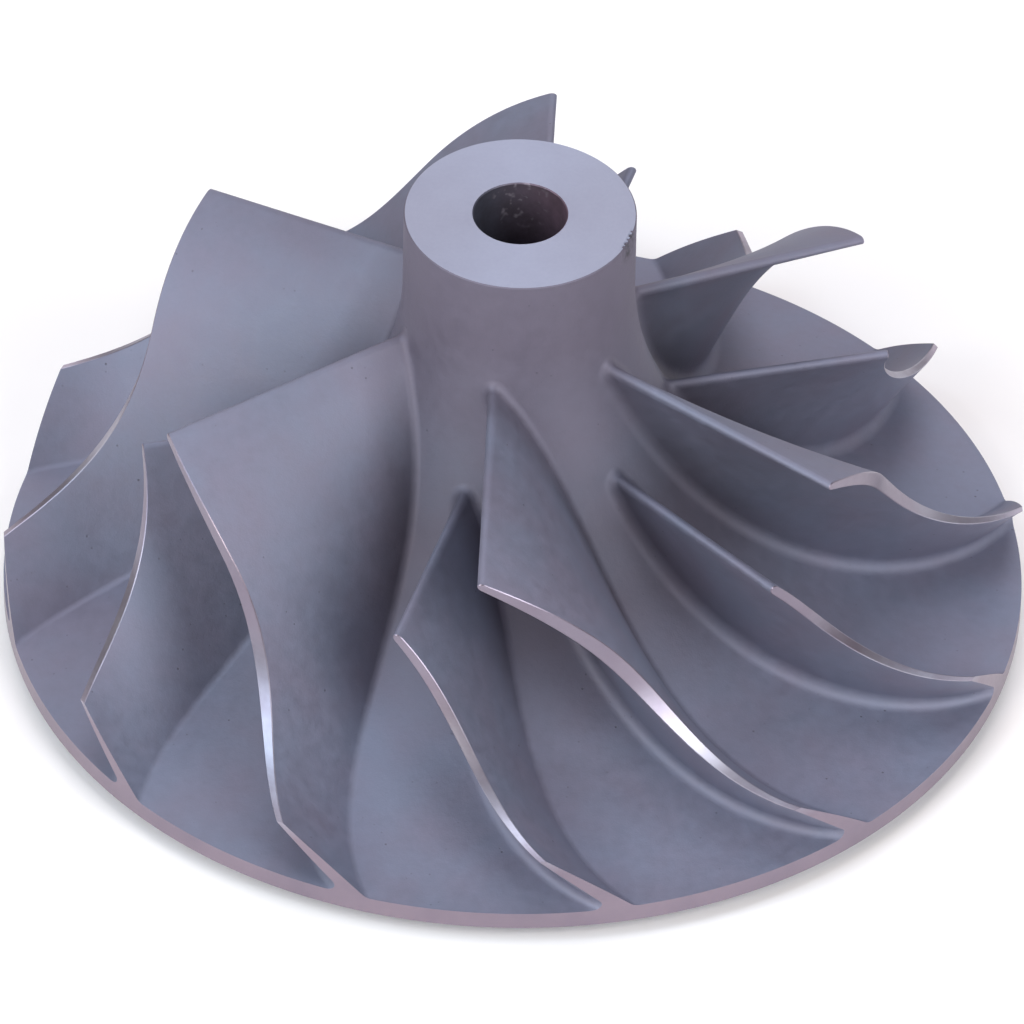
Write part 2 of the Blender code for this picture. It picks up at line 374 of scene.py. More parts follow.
def trimmed(skin, stations):
    """Both sides of a skin, nose first: side, station, row. Each row stops at the rim."""
    nose = NOSE_POINTS // 2 - 1
    middle = len(skin) // 2
    halves = []
    for half in (skin[middle::-1], skin[middle:]):
        body = half[nose + 1:]
        radius = off_axis(body).T
        radius[:, :DENSE_STATIONS // 2] = 0.0
        stop = crossing(radius - WHEEL_RADIUS)
        share = np.linspace(0, 1, stations + 1)
        share = (share + CLOSER_AT_NOSE * share**2) / (1 + CLOSER_AT_NOSE)
        rows = [resample(body[:, j], share * stop[j], np.arange(len(body)))
                for j in range(body.shape[1])]
        body = np.stack(rows, axis=1)
        body[-1, :, :2] *= (WHEEL_RADIUS / off_axis(body[-1]))[:, None]
        halves.append(np.concatenate([half[:nose + 1], body]))
    return np.stack(halves)


def turned(points, angle):
    """Points turned about the axis."""
    cos, sin = math.cos(angle), math.sin(angle)
    return points @ np.array([[cos, sin, 0], [-sin, cos, 0], [0, 0, 1]])


pitch = 2 * math.pi / SECTORS
full_skin = trimmed(blade_skin(0.0), FULL_STATIONS)
splitter_skin = turned(trimmed(blade_skin(SPLITTER_START), SPLITTER_STATIONS), pitch / 2)
print("full blade grid", full_skin.shape, "splitter grid", splitter_skin.shape)

# %% [markdown]
# ## The hub's skin between the blades
# The hub has holes where the blades stand on it, so no plain grid fits. A flat map helps:
# the angle about the axis goes to the right, and the length down the hub over its radius
# goes down. That map keeps every angle true, as a sea chart does. Staggered rows of points
# are laid on it, and the feet of the blades are its coast. All are joined into the roundest
# triangles there are, those whose circles hold no other point. The map is then rolled back
# onto the hub.

# %% The map: length along the hub and its chart value
NOSE_BREAK = 0.00008
SKIN_SPACING, RIM_SPACING = 0.00055, 0.0007
SHORE_GAP = 0.62 * SKIN_SPACING
NOSE_COLUMNS = 16


def hub_table():
    """Height, radius and chart value down the hub, the chart value a sum of step / radius."""
    height = np.linspace(NOSE_HEIGHT - NOSE_BREAK, FLARE_TOP, 400, endpoint=False)
    last = math.acos((FLARE_CENTRE - WHEEL_RADIUS) / FLARE_WIDTH)
    radius, low = flare(np.linspace(0, last, 3000))
    line = np.stack([np.append(np.full(400, NOSE_RADIUS), radius), np.append(height, low)], axis=1)
    steps = np.linalg.norm(np.diff(line, axis=0), axis=1)
    chart = np.concatenate([[0], np.cumsum(steps / (line[1:, 0] + line[:-1, 0]) * 2)])
    return line[:, 0], line[:, 1], chart


HUB_RADIUS_AT, HUB_HEIGHT_AT, CHART = hub_table()


def to_chart(points):
    """Angle about the axis, unwound along the row, and chart value of points on the hub."""
    angle = np.unwrap(np.arctan2(points[:, 1], points[:, 0]))
    radius = off_axis(points)
    by_radius = np.interp(radius, HUB_RADIUS_AT[400:], CHART[400:])
    by_height = np.interp(-points[:, 2], -HUB_HEIGHT_AT, CHART)
    return np.stack([angle, np.where(radius > 0.02, by_radius, by_height)], axis=1)


def from_chart(chart):
    """Points on the hub for angle and chart value."""
    radius = np.interp(chart[:, 1], CHART, HUB_RADIUS_AT)
    height = np.interp(chart[:, 1], CHART, HUB_HEIGHT_AT)
    return np.stack([radius * np.cos(chart[:, 0]), radius * np.sin(chart[:, 0]), height], axis=1)


print("chart value from the nose to the rim:", CHART[-1].round(3))


def inside(points, outline):
    """True inside a closed outline: a ray to the right meets it an odd number of times."""
    a, b = outline, np.roll(outline, -1, axis=0)
    x, y = points[:, :1], points[:, 1:]
    crosses = (a[:, 1] > y) != (b[:, 1] > y)
    rise = np.where(a[:, 1] == b[:, 1], 1, b[:, 1] - a[:, 1])
    meets = x < a[:, 0] + (y - a[:, 1]) * (b[:, 0] - a[:, 0]) / rise
    return (crosses & meets).sum(axis=1) % 2 == 1


def joined(points, loop):
    """Triangles whose circles hold no other point, kept inside a closed loop of the points."""
    edges = np.stack([loop, np.roll(loop, -1)], axis=1).tolist()
    result = delaunay_2d_cdt([Vector(p) for p in points.tolist()], edges, [], 0, 1e-7)
    faces = np.array([[result[3][v][0] for v in face] for face in result[2]])
    return faces[inside(points[faces].mean(axis=1), points[loop])]


# %% One sector of the hub's skin, from one full blade to the next
def outline_of_sector(full, splitter):
    """Corner to corner round one sector: nose edge, next blade, rim, splitter, rim, blade.

    Returns points in space and on the chart, and where the two stretches of rim start."""
    left, right = full[0, :, 0], turned(full[1, :, 0], pitch)
    split_left, split_right = splitter[1, :, 0], splitter[0, :, 0]
    chart = [to_chart(line) for line in (left, right, split_left, split_right)]
    for i in (1, 2, 3):
        nose = chart[0][0, 0] + (pitch if i == 1 else pitch / 2)
        chart[i][:, 0] += 2 * math.pi * np.round((nose - chart[i][0, 0]) / (2 * math.pi))
    apex = chart[0][0]
    rows = int(round((apex[1] * NOSE_RADIUS) / SKIN_SPACING))
    down = np.stack([np.full(rows, apex[0]), np.linspace(0, apex[1], rows, endpoint=False)], axis=1)
    along = np.linspace(0, pitch, NOSE_COLUMNS + 1)[1:-1]
    nose = np.stack([apex[0] + along, np.zeros(len(along))], axis=1)

    def rim(a, b):
        count = int(round((b[0] - a[0]) * WHEEL_RADIUS / RIM_SPACING))
        angle = np.linspace(a[0], b[0], count + 1)[1:-1]
        return np.stack([angle, np.full(len(angle), CHART[-1])], axis=1)

    first_rim, last_rim = rim(chart[0][-1], chart[2][-1]), rim(chart[3][-1], chart[1][-1])
    parts = [nose, down + (pitch, 0), chart[1], last_rim[::-1], chart[3][::-1],
             chart[2][1:], first_rim[::-1], chart[0][::-1], down[::-1]]
    space = [from_chart(nose), from_chart(down + (pitch, 0)), right, from_chart(last_rim[::-1]),
             split_right[::-1], split_left[1:], from_chart(first_rim[::-1]), left[::-1],
             from_chart(down[::-1])]
    return np.vstack(space), np.vstack(parts), from_chart(first_rim), from_chart(last_rim)


def sector_skin(full, splitter):
    """Points and triangles of a sector: staggered rows inside the outline, joined with it."""
    space, chart, first_rim, last_rim = outline_of_sector(full, splitter)
    step = SKIN_SPACING * math.sqrt(3) / 2
    middle = (HUB_RADIUS_AT[1:] + HUB_RADIUS_AT[:-1]) / 2
    travelled = np.cumsum(np.append(0, np.diff(CHART) * middle))
    levels = np.arange(step / 2, travelled[-1], step)
    rows = []
    for i, level in enumerate(np.interp(levels, travelled, CHART)):
        gap = SKIN_SPACING / np.interp(level, CHART, HUB_RADIUS_AT)
        angle = np.arange(chart[:, 0].min(), chart[:, 0].max(), gap) + gap / 2 * (i % 2)
        rows.append(np.stack([angle, np.full(len(angle), level)], axis=1))
    field = np.vstack(rows)
    field = field[inside(field, chart)]
    reach = np.interp(field[:, 1], CHART, HUB_RADIUS_AT)
    gap = np.linalg.norm(field[:, None] - chart[None], axis=-1).min(axis=1) * reach
    field = field[gap > SHORE_GAP]
    faces = joined(np.vstack([chart, field]), np.arange(len(chart)))
    return np.vstack([space, from_chart(field)]), faces, first_rim, last_rim


hub_points, hub_faces, first_rim, last_rim = sector_skin(full_skin, splitter_skin)
print("hub sector:", len(hub_points), "points,", len(hub_faces), "triangles")

# %% [markdown]
# ## The cut faces
# What the lathe leaves is simple: the outer edges are strips between the two sides of a
# blade, the ends and the rim are one cylinder, and the nose face, bore, back and pad are
# a profile turned about the axis. The strips get a few columns, so that each side keeps
# its own point and the strip is filled straight across.

# %% Strips between two rows of points
ACROSS = 4


def strip(left, right, fit):
    """Straight lines from left to right, ACROSS steps each, then fitted to the cut surface."""
    share = np.linspace(0, 1, ACROSS + 1)[:, None]
    grid = left[:, None] * (1 - share) + right[:, None] * share
    middle = fit(grid[:, 1:-1])
    return np.concatenate([grid[:, :1], middle, grid[:, -1:]], axis=1)


def onto_rim(points):
    """Points moved out to the wheel's radius."""
    return placed(points, WHEEL_RADIUS / off_axis(points), points[..., 2])


# %% The profile of the nose face, bore, back and pad
BORE_BREAK, RIM_BREAK = 0.00008, 0.00015
BACK_RING = 0.0025
PAD_FILLET_STEPS, PAD_FILLET_SHARE = 8, 0.93
FACE_POINTS, BORE_POINTS, BACK_POINTS = 7, 30, 15


def turned_profile():
    """Radius and height from the nose's edge across the face, down the bore and out the back."""
    round_angle = np.linspace(math.pi / 2 * PAD_FILLET_SHARE, 0, PAD_FILLET_STEPS + 1)
    pad = np.stack([PAD_RADIUS + PAD_DEPTH * (1 - np.sin(round_angle)),
                    -PAD_DEPTH * (1 - np.cos(round_angle))], axis=1)
    face = np.linspace(NOSE_RADIUS - NOSE_BREAK, BORE_RADIUS + BORE_BREAK, FACE_POINTS)
    bore = np.linspace(NOSE_HEIGHT - BORE_BREAK, -PAD_DEPTH + BORE_BREAK, BORE_POINTS)
    seat = np.linspace(BORE_RADIUS + BORE_BREAK, PAD_RADIUS - RIM_BREAK, FACE_POINTS)
    back = np.linspace(PAD_RADIUS + PAD_DEPTH, WHEEL_RADIUS - BACK_RING, BACK_POINTS + 1)[1:]
    return [("corner", np.array([[NOSE_RADIUS, NOSE_HEIGHT - NOSE_BREAK], [face[0], NOSE_HEIGHT]])),
            ("face", np.stack([face, np.full_like(face, NOSE_HEIGHT)], axis=1)),
            ("mouth", np.array([[face[-1], NOSE_HEIGHT], [BORE_RADIUS, bore[0]]])),
            ("bore", np.stack([np.full_like(bore, BORE_RADIUS), bore], axis=1)),
            ("edge", np.array([[BORE_RADIUS, bore[-1]], [seat[0], -PAD_DEPTH]])),
            ("back", np.stack([seat, np.full_like(seat, -PAD_DEPTH)], axis=1)),
            ("edge", np.array([[seat[-1], -PAD_DEPTH], pad[0]])),
            ("back", np.vstack([pad, np.stack([back, np.zeros_like(back)], axis=1)]))]


def turn(profile, angles):
    """Each profile point at each angle."""
    flat = np.stack([np.cos(angles), np.sin(angles)], axis=1)
    heights = np.broadcast_to(profile[:, None, 1:], (len(profile), len(angles), 1))
    return np.concatenate([profile[:, None, :1] * flat[None], heights], axis=2)


print("turned profile:", sum(len(p) for _, p in turned_profile()), "points")

# %% [markdown]
# ## One closed skin
# All patches of one sector are made once and turned six times about the axis. Where two
# patches meet they have the very same points, so merging doubles closes the skin. Each
# face keeps a finish, which picks its material, and a smoothing group. Inside a group the
# shading is smooth; between groups the edge stays crisp.

# %% Collect the patches of a sector
CAST, CUT, TURNED, BORED = range(4)


class Sheets:
    """Points, faces, finishes and smoothing groups gathered patch by patch."""

    def __init__(self):
        self.points, self.faces, self.finish, self.group, self.count = [], [], [], [], 0

    def add(self, points, faces, finish, group):
        self.points.append(points.reshape(-1, 3))
        self.faces += (faces + self.count).tolist()
        self.finish += [finish] * len(faces)
        self.group += [group] * len(faces)
        self.count += len(self.points[-1])

    def grid(self, points, finish, group):
        rows, columns = points.shape[:2]
        at = np.arange(rows * columns).reshape(rows, columns)
        faces = np.stack([at[:-1, :-1], at[:-1, 1:], at[1:, 1:], at[1:, :-1]], axis=-1)
        self.add(points, faces.reshape(-1, 4), finish, group)


def add_blade(sheets, skin):
    """Two sides, the broken edge, the strip on top and the end face of one blade."""
    for half in skin:
        sheets.grid(half[:, :-1], CAST, 0)
        sheets.grid(half[:, -2:], CUT, 1)
    end = strip(skin[0][-1], skin[1][-1], onto_rim)
    top = strip(skin[0][:, -1], skin[1][:, -1], onto_edge)
    top[-1] = end[-1]
    sheets.grid(top, CUT, 2)
    sheets.grid(end, CUT, 3)


def rim_top(full, splitter, first_rim, last_rim):
    """Points along the rim's upper edge through one sector, blade ends included."""
    ends = [strip(skin[1][-1][:1], skin[0][-1][:1], onto_rim)[0] for skin in (full, splitter)]
    return np.vstack([ends[0], first_rim, ends[1], last_rim, turned(ends[0][:1], pitch)])


RING_STRETCH = 30


def back_zip(outer, inner):
    """Triangles between the rim's ring and the turned ring inside it, on the flat back.

    Angle and stretched radius make a flat map on which the two rings lie well apart."""
    rings = [np.stack([np.unwrap(np.arctan2(ring[:, 1], ring[:, 0])),
                       off_axis(ring) * RING_STRETCH], axis=1) for ring in (outer, inner)]
    rings[1][:, 0] += 2 * math.pi * np.round((rings[0][0, 0] - rings[1][0, 0]) / (2 * math.pi))
    loop = np.append(np.arange(len(outer)), np.arange(len(outer), len(outer) + len(inner))[::-1])
    return np.vstack([outer, inner]), joined(np.vstack(rings), loop)


# %% Gather one sector
sector = Sheets()
add_blade(sector, full_skin)
add_blade(sector, splitter_skin)
sector.add(hub_points, hub_faces, CAST, 0)
top = rim_top(full_skin, splitter_skin, first_rim, last_rim)
levels = np.linspace(1, 0, 5)[:, None]
band = np.repeat(top[None], 5, axis=0)
band[..., 2] = RIM_BREAK + (top[:, 2] - RIM_BREAK) * levels
sector.grid(band, CUT, 3)
lower = top * ((WHEEL_RADIUS - RIM_BREAK) / WHEEL_RADIUS)
lower[:, 2] = 0.0
sector.grid(np.stack([band[-1], lower]), CUT, 4)
start = math.atan2(full_skin[0, 0, 0, 1], full_skin[0, 0, 0, 0])
angles = start + np.linspace(0, pitch, NOSE_COLUMNS + 1)
for i, (name, profile) in enumerate(turned_profile()):
    finish = {"bore": BORED, "mouth": BORED, "corner": CAST}.get(name, TURNED)
    sector.grid(turn(profile, angles), finish, 5 + i)
shift = round((math.atan2(top[0, 1], top[0, 0]) - start) / (pitch / NOSE_COLUMNS))
inner = turn(turned_profile()[-1][1][-1:], angles + shift * pitch / NOSE_COLUMNS)[0]
sector.add(*back_zip(lower, inner), TURNED, 5 + i)
print("one sector:", sector.count, "points,", len(sector.faces), "faces")

# %% Six sectors, merged into one closed skin
MERGE = 0.000002


def closed_skin(sheets, name):
    """Mesh of all sectors, doubles merged, every face turned outwards and every edge shared."""
    one = np.vstack(sheets.points)
    points = np.vstack([turned(one, FIRST_BLADE_ANGLE + i * pitch) for i in range(SECTORS)])
    points[:, 2] += PAD_DEPTH
    faces = [[v + i * len(one) for v in face] for i in range(SECTORS) for face in sheets.faces]
    mesh = bpy.data.meshes.new(name)
    mesh.from_pydata(points.tolist(), [], faces)
    for label, values in (("finish", sheets.finish), ("group", sheets.group)):
        mesh.attributes.new(label, "INT", "FACE").data.foreach_set("value", values * SECTORS)
    work = bmesh.new()
    work.from_mesh(mesh)
    bmesh.ops.remove_doubles(work, verts=work.verts, dist=MERGE)
    bmesh.ops.recalc_face_normals(work, faces=work.faces)
    open_edges = sum(1 for edge in work.edges if len(edge.link_faces) != 2)
    print(name, len(work.verts), "points,", len(work.faces), "faces,", open_edges, "open edges,",
          round(work.calc_volume() * 1e6, 2), "cm3")
    work.to_mesh(mesh)
    work.free()
    return mesh


wheel_mesh = closed_skin(sector, "wheel_casting")

# %% [markdown]
# ## A bite out of the nose's edge
# On one side the nose's edge is chipped and rough, as where the casting's feeder was broken
# off. A bump in the finish would leave the outline whole, so the skin itself is moved: its
# faces are cut finer there, and their points are pulled towards the axis and down, most at
# the edge itself, with a few waves that cross for the roughness.

# %% The chip
CHIP_ANGLE, CHIP_HALF_ANGLE = math.radians(-19.0), math.radians(10.0)
CHIP_HEIGHT, CHIP_DEPTH = 0.0010, 0.00016
CHIP_FIELD_HEIGHT, CHIP_FIELD_RADIUS = 0.0018, 0.0064
CHIP_ROUGH_FROM = 0.00003
CHIP_GROUP = 20
NOSE_TOP = NOSE_HEIGHT + PAD_DEPTH


def chip_amount(points):
    """Depth: a hill round the angle, falling from the edge down, times crossed waves."""
    radius = np.hypot(points[:, 0], points[:, 1])
    turn = (np.arctan2(points[:, 1], points[:, 0]) - CHIP_ANGLE) / CHIP_HALF_ANGLE
    down = (NOSE_TOP - points[:, 2]) / CHIP_HEIGHT
    back = (NOSE_RADIUS - radius) / CHIP_DEPTH
    hill = np.clip(1 - turn**2, 0, 1) * np.clip(1 - down, 0, 1) * np.clip(1 - back / 1.6, 0, 1)
    waves = np.sin(turn * 13.1 + down * 3.0) * np.sin(down * 11.3 - turn * 5.0)
    waves = waves + np.sin(turn * 19 + back) + 0.5 * np.sin(turn * 31 + down * 13)
    return CHIP_DEPTH * np.sqrt(hill) * np.clip(0.6 + 0.25 * waves, 0, 1.2)


def chipped(mesh):
    """Cut the faces near the chip finer, then move their points in and down by its depth."""
    work = bmesh.new()
    work.from_mesh(mesh)

    def near(vert):
        turn = abs(math.atan2(vert.co.y, vert.co.x) - CHIP_ANGLE)
        outer = math.hypot(vert.co.x, vert.co.y) > CHIP_FIELD_RADIUS
        return outer and turn < CHIP_HALF_ANGLE * 1.2 and vert.co.z > NOSE_TOP - CHIP_FIELD_HEIGHT

    for _ in range(3):
        edges = [edge for edge in work.edges if near(edge.verts[0]) and near(edge.verts[1])]
        bmesh.ops.subdivide_edges(work, edges=edges, cuts=1, use_grid_fill=True)
        wide = [face for face in work.faces if len(face.verts) > 4]
        bmesh.ops.triangulate(work, faces=wide)
    verts = [vert for vert in work.verts if near(vert)]
    points = np.array([vert.co[:] for vert in verts])
    depth = chip_amount(points)
    inward = -points * (1, 1, 0) / np.hypot(points[:, 0], points[:, 1])[:, None]
    moved = points + depth[:, None] * (inward * 0.8 + np.array([0, 0, -0.6]))
    for vert, place in zip(verts, moved):
        vert.co = place
    rough = {vert for vert, amount in zip(verts, depth) if amount > CHIP_ROUGH_FROM}
    finish, group = work.faces.layers.int["finish"], work.faces.layers.int["group"]
    for face in work.faces:
        if rough.issuperset(face.verts):
            face[finish], face[group] = CAST, CHIP_GROUP
    print("chip:", len(verts), "points moved up to", round(depth.max() * 1000, 2), "mm")
    work.to_mesh(mesh)
    work.free()


chipped(wheel_mesh)

# %% Shading that stays crisp where the lathe has cut
def values_of(items, name, width=1, kind=np.int32):
    """One value of every face or corner, read into an array."""
    values = np.empty(len(items) * width, kind)
    items.foreach_get(name, values)
    return values


def crisp_shading(mesh):
    """Corner normal = sum of (face normal x face area) over its point's faces of its group."""
    normal = values_of(mesh.polygons, "normal", 3, np.float32).reshape(-1, 3)
    area = values_of(mesh.polygons, "area", 1, np.float32)
    group, finish = (values_of(mesh.attributes[name].data, "value") for name in ("group", "finish"))
    face = np.repeat(np.arange(len(group)), values_of(mesh.polygons, "loop_total"))
    key = values_of(mesh.loops, "vertex_index") * (group.max() + 1) + group[face]
    weighted = normal * area[:, None]
    total = np.stack([np.bincount(key, weighted[face, k]) for k in range(3)], axis=1)
    mesh.polygons.foreach_set("use_smooth", np.ones(len(group), bool))
    mesh.normals_split_custom_set(unit(total[key]).tolist())
    mesh.polygons.foreach_set("material_index", finish)
    mesh.update()
    print("faces cast, cut, turned and bored:", np.bincount(finish))


crisp_shading(wheel_mesh)
wheel = bpy.data.objects.new("wheel_casting", wheel_mesh)
bpy.context.scene.collection.objects.link(wheel)
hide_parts("compressor_wheel")
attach(wheel, "root")

# %% [markdown]
# ## Finishes
# The metal is one alloy, but it was worked in four ways, and each way leaves its own skin.
# All patterns are worked out from the place on the wheel, in metres, so a noise of scale
# 9000 has grains of about a tenth of a millimetre. Nodes are made by one short helper.

# %% Helpers for node materials
def node(tree, kind, inputs, output=0, **settings):
    """Output of a new node. A plain input value sets its socket, an output of a node is linked."""
    made = tree.nodes.new("ShaderNode" + kind)
    for key, value in settings.items():
        setattr(made, key, value)
    for key, value in inputs.items():
        if isinstance(value, bpy.types.NodeSocket):
            tree.links.new(value, made.inputs[key])
        else:
            made.inputs[key].default_value = value
    return made.outputs[output]


def noise(tree, place, scale, detail=3.0, rough=0.55):
    """Cloudy values round a half, in blots of about one metre over the scale."""
    return node(tree, "TexNoise", {"Vector": place, "Scale": scale, "Detail": detail,
                                   "Roughness": rough}, "Fac")


NOISE_BAND = (0.3, 0.7)


def spread(tree, value, band, first=0.0, last=1.0):
    """The value moved from a band of it into the range first to last, and held at the ends."""
    return node(tree, "MapRange", {"Value": value, "From Min": band[0], "From Max": band[1],
                                   "To Min": first, "To Max": last}, "Result")


def along_axis(tree, place, axis):
    """One coordinate of the place."""
    return node(tree, "SeparateXYZ", {0: place}, axis)


def from_axis(tree, place):
    """Distance of the place from the wheel's axis: the length of the place laid flat."""
    flat = node(tree, "VectorMath", {0: place, 1: (1, 1, 0)}, operation="MULTIPLY")
    return node(tree, "VectorMath", {0: flat}, "Value", operation="LENGTH")


def mixed(tree, share, first, last, how="MIX"):
    """Two colours mixed by a share."""
    return node(tree, "Mix", {0: share, 6: first, 7: last}, 2, data_type="RGBA", blend_type=how)


def times(tree, first, last, operation="MULTIPLY"):
    """Two numbers joined by a sum, by default their product."""
    return node(tree, "Math", {0: first, 1: last}, operation=operation)


def new_finish(name, metallic, roughness):
    """A material, its tree, its Principled shader and the place on the wheel."""
    material = bpy.data.materials.new(name)
    material.use_nodes = True
    tree = material.node_tree
    shader = tree.nodes["Principled BSDF"]
    shader.inputs["Metallic"].default_value = metallic
    shader.inputs["Roughness"].default_value = roughness
    return material, tree, shader, node(tree, "TexCoord", {}, "Object")


def wire(tree, shader, outputs):
    """Link each output to the shader's socket of its name."""
    for name, value in outputs.items():
        tree.links.new(value, shader.inputs[name])


def bumps(tree, layers):
    """Normals raised by layers of (height, strength, depth), each on top of the one before."""
    normal = None
    for height, strength, depth in layers:
        inputs = {"Height": height, "Strength": strength, "Distance": depth}
        if normal is not None:
            inputs["Normal"] = normal
        normal = node(tree, "Bump", inputs)
    return normal


# %% [markdown]
# ## The cast skin
# Aluminium poured in a plaster mould comes out dull and even, with the mould's fine grain,
# a faint unevenness, a few pinholes, and greyer and browner blots where it was handled.
# A photograph of such a skin would do for one view only. Noise that fills the space is
# the better way, because it runs over blades, rounds and hub without a seam.

# %% Cast skin
CAST_BLUE, CAST_PLUM = (0.190, 0.204, 0.277, 1), (0.196, 0.188, 0.253, 1)
# Next: the nose's browner tint, partly painted warm light on its upright side, and a plum that is
# painted shade for the inlet's foot.
NOSE_TINT_AND_WARM_LIGHT, INLET_SHADE_PLUM = (0.164, 0.148, 0.200, 1), (0.066, 0.052, 0.068, 1)
PIT_DARK = (0.05, 0.05, 0.06, 1)
# Radii over which the cast skin is painted brighter towards the rim, and over which the nose's tint
# fades out.
RIM_LIGHT_RADII, NOSE_RADII = (0.018, 0.031), (0.0085, 0.011)
# Where the painted shade at the inlet's foot lies: two bands of radius and one of the ellipse's
# length.
INLET_SHADE_FIRST_RADII, INLET_SHADE_LAST_RADII, INLET_SHADE_ON_ELLIPSE = (0.0075, 0.012), (0.015, 0.022), (0.86, 0.99)
# Heights over which the nose's tint, partly painted warm light, grows; and the reach of the chip's
# crumbs.
NOSE_TINT_HEIGHTS, CRUMB_REACH = (0.016, 0.029), (0.0006, 0.0014)


def passage_shade(tree, place):
    """Painted light and shade on the cast skin, and the nose's share.

    The skin is painted a little brighter towards the rim, where the passages open out to the
    light, and darker plum at the foot of the inlet, where shade falls deep between the blades.
    The length of the place on the flare's ellipse is 1 on the hub and less out in the passage."""
    radius, height = from_axis(tree, place), along_axis(tree, place, "Z")
    across = spread(tree, radius, (FLARE_CENTRE - FLARE_WIDTH, FLARE_CENTRE), 1.0, 0.0)
    top = FLARE_TOP + PAD_DEPTH
    down = spread(tree, height, (top - FLARE_HEIGHT, top), 1.0, 0.0)
    both = node(tree, "CombineXYZ", {0: across, 1: down})
    length = node(tree, "VectorMath", {0: both}, "Value", operation="LENGTH")
    foot = spread(tree, length, INLET_SHADE_ON_ELLIPSE)
    deep = times(tree, spread(tree, radius, INLET_SHADE_FIRST_RADII),
                 spread(tree, radius, INLET_SHADE_LAST_RADII, 1.0, 0.0))
    # Painted light: the skin a little brighter towards the rim, where the passages open out to the
    # light.
    lighter = spread(tree, radius, RIM_LIGHT_RADII, 0.97, 1.13)
    # Painted shade: darker plum at the foot of the inlet, deep between the blades.
    inlet_shade = times(tree, times(tree, foot, deep), 0.65)
    return lighter, inlet_shade, spread(tree, radius, NOSE_RADII, 1.0, 0.0)


def crumbs(tree, place):
    """Dark specks where a noise is high, within a millimetre or two of the chip on the nose."""
    spot = (NOSE_RADIUS * math.cos(CHIP_ANGLE), NOSE_RADIUS * math.sin(CHIP_ANGLE),
            NOSE_TOP - CHIP_HEIGHT / 2)
    away = node(tree, "VectorMath", {0: place, 1: spot}, "Value", operation="DISTANCE")
    near = spread(tree, away, CRUMB_REACH, 1.0, 0.0)
    return times(tree, near, spread(tree, noise(tree, place, 2600.0, 1.0), (0.36, 0.6), 0.1, 0.75))


def cast_finish():
    """Blue-grey to plum blots, a browner nose that is partly painted warm light, painted light
    towards the rim, painted shade at the inlet's foot, grain and pinholes as bumps.
    """
    material, tree, shader, place = new_finish("cast_skin", 0.5, 0.62)
    blots = spread(tree, noise(tree, place, 150.0, 4.0), (0.35, 0.65))
    mottle = noise(tree, place, 1100.0, 5.0, 0.62)
    grain = noise(tree, place, 8500.0, 2.0)
    peel = noise(tree, place, 2600.0, 3.0)
    cells = node(tree, "TexVoronoi", {"Vector": place, "Scale": 1300.0}, "Distance")
    rare = spread(tree, noise(tree, place, 500.0, 2.0), (0.55, 0.66))
    holes = times(tree, spread(tree, cells, (0.05, 0.13), 1.0, 0.0), rare)
    lighter, inlet_shade, nearness = passage_shade(tree, place)
    up = times(tree, spread(tree, along_axis(tree, place, "Z"), NOSE_TINT_HEIGHTS), nearness)
    colour = mixed(tree, blots, CAST_BLUE, CAST_PLUM)
    # The nose's browner tint, partly its own and partly painted warm light on its upright side.
    colour = mixed(tree, up, colour, NOSE_TINT_AND_WARM_LIGHT)
    # Painted shade at the inlet's foot.
    colour = mixed(tree, inlet_shade, colour, INLET_SHADE_PLUM)
    # Random mottle, times the painted light towards the rim.
    shade = times(tree, spread(tree, mottle, NOISE_BAND, 0.93, 1.07), lighter)
    grey = node(tree, "CombineXYZ", {0: shade, 1: shade, 2: shade})
    colour = mixed(tree, 1.0, colour, grey, "MULTIPLY")
    colour = mixed(tree, times(tree, holes, 0.6), colour, PIT_DARK)
    colour = mixed(tree, crumbs(tree, place), colour, PIT_DARK)
    layers = [(peel, 0.35, 0.00004), (grain, 0.4, 0.00002), (holes, 0.5, -0.00004)]
    wire(tree, shader, {"Base Color": colour, "Normal": bumps(tree, layers),
                        "Roughness": spread(tree, mottle, NOISE_BAND, 0.56, 0.68)})
    return material


# %% [markdown]
# ## Cut faces
# A lathe tool leaves fine circles about the axis, so its marks depend only on the radius
# and the height. They are drawn by a noise of one number that is the same all the way round.
# Light that falls across such grooves spreads into a streak. The shader gets the direction
# of that streak: up crossed with the place runs round the axis along the grooves, and that
# crossed with the surface's normal runs across them.

# %% Lathe marks and their direction
def lathe_marks(tree, place, pitch):
    """Noise of radius plus height: circles about the axis, about one pitch apart."""
    radius, height = from_axis(tree, place), along_axis(tree, place, "Z")
    along = times(tree, times(tree, radius, height, "ADD"), 1 / pitch)
    fine = node(tree, "TexNoise", {"W": along, "Scale": 1.0, "Detail": 2.0}, "Fac",
                noise_dimensions="1D")
    around = node(tree, "VectorMath", {0: (0, 0, 1), 1: place}, operation="CROSS_PRODUCT")
    faces = node(tree, "NewGeometry", {}, "Normal")
    across = node(tree, "VectorMath", {0: around, 1: faces}, operation="CROSS_PRODUCT")
    return fine, node(tree, "VectorMath", {0: across}, operation="NORMALIZE")


# Heights where the painted reflections take over on the cut faces: bluish light below the first
# pair, warm light on the rim below the second.
SKY_REFLECTION_HEIGHTS, RIM_REFLECTION_HEIGHTS = (0.0100, 0.0150), (0.0062, 0.0078)


